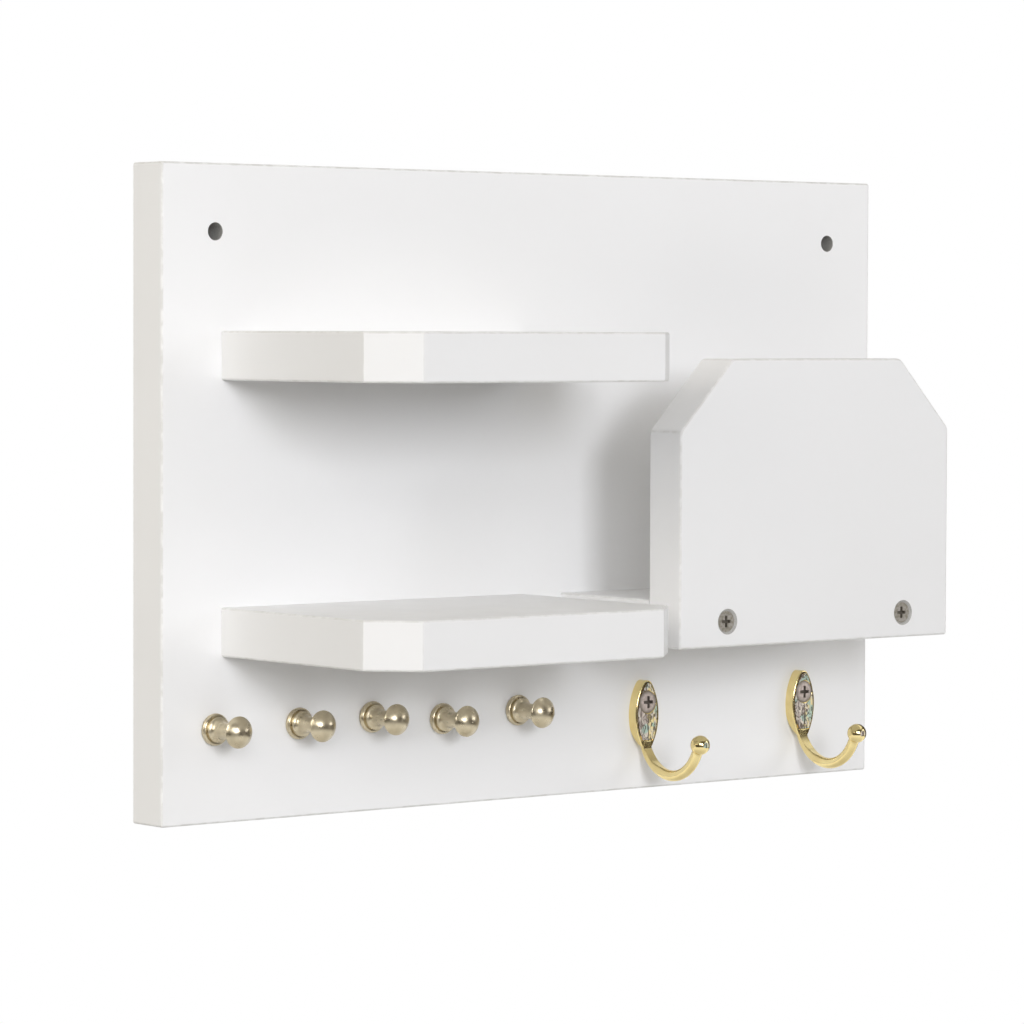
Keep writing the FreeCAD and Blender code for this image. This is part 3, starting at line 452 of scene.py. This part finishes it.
class LacquerFinish(bpy.types.PropertyGroup):
    """The boards' white lacquer."""

    white: tone("White", "Lacquer of the back board", (0.85, 0.85, 0.85))
    shelf_white: tone("Shelf white", "Lacquer of the shelves and the letter holder", (0.775, 0.775, 0.775))
    drift: share("Drift", "How far the lacquer drifts to its edge tone over a hand's width", 0.1)
    # Painted shade on the rounded edges of the boards
    edge: tone("Edge", "Tone of the sanded edges", (0.66, 0.655, 0.64))
    speck: tone("Speck", "Dust caught in the lacquer", (0.42, 0.41, 0.38))
    speck_cover: share("Speck cover", "How much of a speck's tone shows through", 0.6)
    bore: tone("Bore", "Bare fibreboard in the wall holes", (0.44, 0.43, 0.41))
    bore_shade: tone("Bore shade", "Darker fibres in the wall holes", (0.34, 0.335, 0.32))
    roughness: share("Roughness", "Roughness of the lacquer", 0.42)
    peel_size: length("Peel size", "Width of the orange peel's waves", 2.6 * MM)
    peel_depth: length("Peel depth", "Height of the orange peel's waves", 0.02 * MM)


class BrassFinish(bpy.types.PropertyGroup):
    """The satin knobs and the polished hooks."""

    knob: tone("Knobs", "Satin brass of the knobs", (0.64, 0.56, 0.40))
    knob_shade: tone("Knobs, rubbed", "Rubbed patches on the knobs", (0.54, 0.47, 0.33))
    knob_roughness: share("Knob roughness", "Roughness of the knobs", 0.31)
    knob_wave: length("Knob waves", "Height of the knobs' unevenness", 0.012 * MM)
    ring_pitch: length("Ring pitch", "Distance between the lathe's rings", 0.22 * MM)
    ring_height: share("Ring height", "Height of the rings as a share of the waves", 0.12)
    hook: tone("Hooks", "Polished brass of the hooks", (0.92, 0.77, 0.38))
    hook_shade: tone("Hooks, tarnished", "Slightly tarnished brass", (0.84, 0.68, 0.32))
    # Painted shade in the plates' groove, also the dark lines of their painted reflections
    painted_dark: tone("Groove", "Dirt in the groove of the hooks' plates", (0.10, 0.075, 0.05))
    # Painted reflections on the plates' faces: the green, cream and rose tones, the green's shift and their
    # cover
    painted_green: tone("Patina", "Green patina on the hooks' plates", (0.46, 0.64, 0.55))
    painted_cream: tone("Cream", "Pale bloom on the hooks' plates", (0.80, 0.74, 0.64))
    painted_rose: tone("Rose", "Reddish tarnish on the hooks' plates", (0.52, 0.44, 0.40))
    painted_green_place: FloatVectorProperty(
        name="Patina place",
        description="Shifts the green patches over the plates",
        subtype="TRANSLATION",
        unit="LENGTH",
        size=3,
        default=(0.003, 0.0, 0.0),
    )
    # How far the painted reflections take the place of metal on the plates' faces
    painted_cover: share("Patina cover", "How far patina covers the metal of the plates", 0.75)
    hook_roughness: share("Hook roughness", "Roughness of the hooks", 0.13)
    skin_roughness: share("Skin roughness", "Roughness that the casting skin adds", 0.3)
    streak_roughness: share("Streaks", "Roughness that the hooks' polishing streaks add", 0.05)
    cast_size: length("Casting waves", "Width of the casting's waves", 5 * MM)
    cast_depth: length("Casting depth", "Height of the casting's waves", 0.06 * MM)
    # Depth of the bumped lines under the painted reflections' dark lines, as a share of the waves
    line_depth: share("Seam depth", "Depth of the skin's seams as a share of the waves", 0.8)


class SteelFinish(bpy.types.PropertyGroup):
    """The screws."""

    steel: tone("Steel", "Plated steel of the screws", (0.40, 0.37, 0.33))
    steel_stain: tone("Stains", "Darker stains on the screws", (0.26, 0.24, 0.19))
    hook_steel: tone("Hook screws", "Plated steel of the hooks' screws", (0.66, 0.57, 0.52))
    hook_steel_stain: tone("Hook screws, stained", "Darker stains on the hooks' screws", (0.48, 0.41, 0.36))
    # Painted shade at the bottom of the cross recess, and how far it covers the steel
    recess_shade: tone("Recess", "Bottom of the cross recess", (0.17, 0.15, 0.12))
    recess_shade_cover: share("Recess cover", "How far the recess takes its own tone", 0.85)
    plating: share("Plating", "How metallic the dulled plating is", 0.45)
    steel_roughness: share("Roughness", "Roughness of the screws", 0.50)
    streak_roughness: share("Streaks", "Roughness that rubbed streaks add", 0.15)
    steel_depth: length("Unevenness", "Height of the plating's unevenness", 0.05 * MM)


class StudioSettings(bpy.types.PropertyGroup):
    """Camera, lamps and surroundings."""

    camera_place: FloatVectorProperty(
        name="Camera",
        description="Where the camera stands",
        subtype="TRANSLATION",
        unit="LENGTH",
        size=3,
        default=(-1.07804, -1.32604, -0.03413),
    )
    azimuth: FloatProperty(
        name="Azimuth",
        description="Camera's turn round the object, from straight in front",
        subtype="ANGLE",
        default=math.radians(-39.165),
    )
    elevation: FloatProperty(
        name="Elevation",
        description="Camera's height over the horizon",
        subtype="ANGLE",
        default=math.radians(2.403),
    )
    roll: FloatProperty(
        name="Roll",
        description="Camera's tilt about its own axis",
        subtype="ANGLE",
        default=math.radians(0.210),
    )
    lens: FloatProperty(
        name="Lens",
        description="Focal length in millimetres on a 36 mm sensor",
        min=1.0,
        default=155.108,
    )
    ambient: level("Surroundings", "Light from all around, at its brightest overhead", 0.485)
    key: level("Key lamp", "Soft box left of the middle, a little above", 0.39)
    fill: level("Fill lamp", "Soft box further left", 0.17)
    left: level("Left lamp", "Warm soft box on the left, beside the wall", 0.33)
    right: level("Right lamp", "Soft box on the right", 0.20)
    front: share("Dark front", "Brightness of the studio's front as metal shows it", 0.08)
    floor: tone("Floor", "Pale floor", (0.80, 0.80, 0.80))
    floor_drop: length("Floor drop", "Floor below the object's lowest edge", 1.0)


class KeyHolderSettings(bpy.types.PropertyGroup):
    """Everything that a user may change."""

    lacquer: PointerProperty(type=LacquerFinish)
    brass: PointerProperty(type=BrassFinish)
    steel: PointerProperty(type=SteelFinish)
    studio: PointerProperty(type=StudioSettings)


def shared_effects():
    """The node groups, built once."""
    makers = {
        "unevenness": ("Soft unevenness", soft_unevenness),
        "edges": ("Eased edges", eased_edges),
        "specks": ("Stray specks", stray_specks),
        "streaks": ("Rubbed streaks", rubbed_streaks),
        "rings": ("Turned rings", turned_rings),
    }
    return {key: bpy.data.node_groups.get(name) or make() for key, (name, make) in makers.items()}


def middle_of(name):
    """The middle of a piece of the frame."""
    low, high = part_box(name)
    return (low + high) / 2


def pieces_like(pattern):
    """The names of the frame's pieces that fit a pattern. None at all is an error."""
    names = fnmatch.filter(sorted(NODES), pattern)
    if not names:
        raise RuntimeError(f"The frame has no piece named {pattern}")
    return names


def wall_screw_holes():
    """Centre and radius of the back board's holes, from the mount that names them."""
    for mount in frame["record"]["mounts"]:
        if mount["name"] == "wall_screws":
            aside = mount["dims"]["spacing_x_mm"] / 2 * MM
            radius = mount["dims"]["hole_r_mm"] * MM + HOLE_MARGIN
            return [(Vector((x, 0.0, 0.0)), radius) for x in (-aside, aside)]
    raise RuntimeError("The frame has no mount for the wall screws")


# Operators


class KEYHOLDER_OT_back_board(bpy.types.Operator):
    """Lacquer the back board"""

    bl_idname = "key_holder.back_board"
    bl_label = "Lacquer the Back Board"

    def execute(self, context):
        finish, effects = context.scene.key_holder.lacquer, shared_effects()
        board = lacquer("board_lacquer", finish, effects, finish.white, holes=wall_screw_holes())
        finish_node("back_board", board)
        return {"FINISHED"}


class KEYHOLDER_OT_shelves(bpy.types.Operator):
    """Lacquer both shelves"""

    bl_idname = "key_holder.shelves"
    bl_label = "Lacquer the Shelves"

    def execute(self, context):
        finish, effects = context.scene.key_holder.lacquer, shared_effects()
        shelves = lacquer("shelf_lacquer", finish, effects, finish.shelf_white, SHELF_CUT)
        for name in ("upper_shelf", "lower_shelf"):
            finish_node(name, shelves)
        return {"FINISHED"}


class KEYHOLDER_OT_letter_holder(bpy.types.Operator):
    """Lacquer the letter holder's base and front"""

    bl_idname = "key_holder.letter_holder"
    bl_label = "Lacquer the Letter Holder"

    def execute(self, context):
        finish, effects = context.scene.key_holder.lacquer, shared_effects()
        sinks = [(middle_of(name), SINK_RADIUS) for name in pieces_like("letter_front_screw_*")]
        base = lacquer("base_lacquer", finish, effects, finish.shelf_white)
        front = lacquer("letter_lacquer", finish, effects, finish.shelf_white, LETTER_CUT, sinks)
        finish_node("letter_base", base)
        finish_node("letter_front", front)
        return {"FINISHED"}


class KEYHOLDER_OT_knobs(bpy.types.Operator):
    """Give the turned knobs their satin brass"""

    bl_idname = "key_holder.knobs"
    bl_label = "Finish the Knobs"

    def execute(self, context):
        finish, effects = context.scene.key_holder.brass, shared_effects()
        for name in pieces_like("knob_[0-9]"):
            finish_node(name, satin_brass(f"{name}_brass", finish, effects, middle_of(name)))
        return {"FINISHED"}


class KEYHOLDER_OT_hooks(bpy.types.Operator):
    """Give the cast hooks their polished brass"""

    bl_idname = "key_holder.hooks"
    bl_label = "Finish the Hooks"

    def execute(self, context):
        finish, effects = context.scene.key_holder.brass, shared_effects()
        board_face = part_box("hook_left")[1].y
        for side in ("left", "right"):
            screw = middle_of(f"hook_screw_{side}")
            screw.y = board_face
            finish_node(f"hook_{side}", cast_brass(f"hook_{side}_brass", finish, effects, screw))
        return {"FINISHED"}


class KEYHOLDER_OT_screws(bpy.types.Operator):
    """Give all screws their plated steel"""

    bl_idname = "key_holder.screws"
    bl_label = "Finish the Screws"

    def execute(self, context):
        finish, effects = context.scene.key_holder.steel, shared_effects()
        plain = (finish.steel, finish.steel_stain)
        reddish = (finish.hook_steel, finish.hook_steel_stain)
        for name in pieces_like("*screw*"):
            low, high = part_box(name)
            from_front = "hook" in name or "front" in name
            head = low if from_front else high
            sunk = Vector((0.0, 1.0 if from_front else -1.0, 0.0))
            tones = reddish if "hook" in name else plain
            finish_node(name, screw_steel(f"{name}_steel", finish, effects, tones, head, sunk))
        return {"FINISHED"}


class KEYHOLDER_OT_studio(bpy.types.Operator):
    """Set up camera, floor, lamps and surroundings"""

    bl_idname = "key_holder.studio"
    bl_label = "Set Up the Studio"

    def execute(self, context):
        scene, studio = context.scene, context.scene.key_holder.studio
        scene.view_settings.view_transform = "Standard"
        place_camera(scene, studio)
        build_floor(scene, studio)
        for box in SOFT_BOXES:
            hang_lamp(scene, box, getattr(studio, box.name))
        light_surroundings(scene, studio)
        return {"FINISHED"}


def towards(azimuth, elevation):
    """The direction to something at this turn and height, seen from the object."""
    flat = math.cos(elevation)
    return Vector((math.sin(azimuth) * flat, -math.cos(azimuth) * flat, math.sin(elevation)))


def place_camera(scene, studio):
    """The camera of the picture."""
    data = bpy.data.cameras.new("picture_camera")
    data.lens, data.sensor_width = studio.lens, 36.0
    camera = bpy.data.objects.new("picture_camera", data)
    scene.collection.objects.link(camera)
    back = towards(studio.azimuth, studio.elevation)
    level_right = Vector((0.0, 0.0, 1.0)).cross(back).normalized()
    level_up = back.cross(level_right)
    turn = math.cos(studio.roll), math.sin(studio.roll)
    right = level_right * turn[0] + level_up * turn[1]
    up = level_up * turn[0] - level_right * turn[1]
    matrix = Matrix((right, up, back)).transposed().to_4x4()
    matrix.translation = Vector(studio.camera_place)
    camera.matrix_world = matrix
    scene.camera = camera


def hang_lamp(scene, box, amount):
    """A soft box that faces the middle of the object."""
    data = bpy.data.lights.new(f"{box.name}_lamp", "AREA")
    data.size = box.size
    # A lamp of this power lights a surface that faces it to the wanted level
    data.energy = amount * (math.pi * box.distance) ** 2
    data.color = box.tint
    lamp = bpy.data.objects.new(f"{box.name}_lamp", data)
    scene.collection.objects.link(lamp)
    way = towards(math.radians(box.azimuth), math.radians(box.elevation))
    lamp.location = (CAD_BOX[0] + CAD_BOX[1]) / 2 + way * box.distance
    lamp.rotation_mode = "QUATERNION"
    lamp.rotation_quaternion = way.to_track_quat("Z", "Y")


def seen_rays(tree):
    """Two masks: one for the camera's own rays, one for reflections and clear bodies."""
    path = add(tree, "LightPath").outputs
    mirrored = maths(tree, "MAXIMUM", path["Is Glossy Ray"], path["Is Transmission Ray"])
    return path["Is Camera Ray"], mirrored


def build_floor(scene, studio):
    """A round pale floor that fades into the white background."""
    drop = CAD_BOX[0].z - studio.floor_drop
    reach, steps = 3.0, 96
    turns = [math.tau * step / steps for step in range(steps)]
    ring = [(reach * math.cos(turn), reach * math.sin(turn), drop) for turn in turns]
    mesh = bpy.data.meshes.new("floor")
    mesh.from_pydata(ring, [], [tuple(range(steps))])
    floor = bpy.data.objects.new("floor", mesh)
    scene.collection.objects.link(floor)
    material = bpy.data.materials.new("floor")
    material.use_nodes = True
    tree = material.node_tree
    tree.nodes.clear()
    matt = add(tree, "BsdfDiffuse", {"Color": (*studio.floor, 1.0)})
    white = add(tree, "Emission", {"Color": (*WHITE, 1.0), "Strength": 1.0})
    camera, mirrored = seen_rays(tree)
    away = vector_maths(tree, "LENGTH", vector_maths(tree, "MULTIPLY", place(tree), (1.0, 1.0, 0.0)))
    fade_starts, fade_ends = 0.4, 1.6
    faded = ramp(tree, away, fade_starts, fade_ends)
    fade = product(tree, faded, maths(tree, "MAXIMUM", camera, mirrored))
    mix = add(tree, "MixShader", {0: fade, 1: matt.outputs[0], 2: white.outputs[0]})
    output = tree.nodes.new("ShaderNodeOutputMaterial")
    tree.links.new(mix.outputs[0], output.inputs["Surface"])
    mesh.materials.append(material)


def light_surroundings(scene, studio):
    """White for the camera. Metal shows white surroundings with a dark front, where the
    studio is open. Matt surfaces get a soft light that grows towards the top."""
    world = bpy.data.worlds.new("studio")
    world.use_nodes = True
    tree = world.node_tree
    tree.nodes.clear()
    x, y, z = add(tree, "SeparateXYZ", {0: add(tree, "TexCoord").outputs["Generated"]}).outputs
    turn = maths(tree, "ARCTAN2", x, product(tree, y, -1.0))
    # The dark front is a wedge: low at its left end, high in front, a little lower on the
    # right. Its height is given for the front, from minus one straight down to one straight up.
    opening = ramp(tree, turn, math.radians(-110), math.radians(-40), start=0.15)
    closing = ramp(tree, turn, 0.0, math.radians(35), start=1.0, end=0.85)
    height = maths(tree, "DIVIDE", z, product(tree, opening, closing))
    right_end = ramp(tree, turn, math.radians(150), math.radians(120))
    bottom = ramp(tree, height, -0.92, -0.72)
    top = ramp(tree, height, 0.92, 0.70)
    dark = product(tree, right_end, product(tree, bottom, top))
    tint = blend(tree, dark, WHITE, [studio.front * part for part in DARK_FRONT])
    camera, mirrored = seen_rays(tree)
    under_horizon, half_way_up = -0.25, 0.5
    growing = product(tree, ramp(tree, z, under_horizon, half_way_up), studio.ambient)
    soft = add(tree, "Background", {"Color": (*AROUND, 1.0), "Strength": growing})
    room = add(tree, "Background", {"Color": tint, "Strength": 1.0})
    white = add(tree, "Background", {"Color": (*WHITE, 1.0), "Strength": 1.0})
    mix = add(tree, "MixShader", {0: mirrored, 1: soft.outputs[0], 2: room.outputs[0]})
    mix = add(tree, "MixShader", {0: camera, 1: mix.outputs[0], 2: white.outputs[0]})
    output = tree.nodes.new("ShaderNodeOutputWorld")
    tree.links.new(mix.outputs[0], output.inputs["Surface"])
    scene.world = world


STEPS = (
    KEYHOLDER_OT_studio,
    KEYHOLDER_OT_back_board,
    KEYHOLDER_OT_shelves,
    KEYHOLDER_OT_letter_holder,
    KEYHOLDER_OT_knobs,
    KEYHOLDER_OT_hooks,
    KEYHOLDER_OT_screws,
)


class KEYHOLDER_PT_panel(bpy.types.Panel):
    """Settings and steps of the key holder"""

    bl_idname = "KEYHOLDER_PT_panel"
    bl_label = "Key Holder"
    bl_space_type = "VIEW_3D"
    bl_region_type = "UI"
    bl_category = "Key Holder"

    def draw(self, context):
        settings = context.scene.key_holder
        for group in (settings.lacquer, settings.brass, settings.steel, settings.studio):
            box = self.layout.box()
            for name in group.__annotations__:
                box.prop(group, name)
        for step in STEPS:
            self.layout.operator(step.bl_idname)


CLASSES = (
    LacquerFinish,
    BrassFinish,
    SteelFinish,
    StudioSettings,
    KeyHolderSettings,
    *STEPS,
    KEYHOLDER_PT_panel,
)


def register():
    for item in CLASSES:
        bpy.utils.register_class(item)
    bpy.types.Scene.key_holder = PointerProperty(type=KeyHolderSettings)


def unregister():
    del bpy.types.Scene.key_holder
    for item in reversed(CLASSES):
        bpy.utils.unregister_class(item)


def main():
    register()
    bpy.ops.key_holder.studio()
    bpy.ops.key_holder.back_board()
    bpy.ops.key_holder.shelves()
    bpy.ops.key_holder.letter_holder()
    bpy.ops.key_holder.knobs()
    bpy.ops.key_holder.hooks()
    bpy.ops.key_holder.screws()


if __name__ == "__main__":
    main()
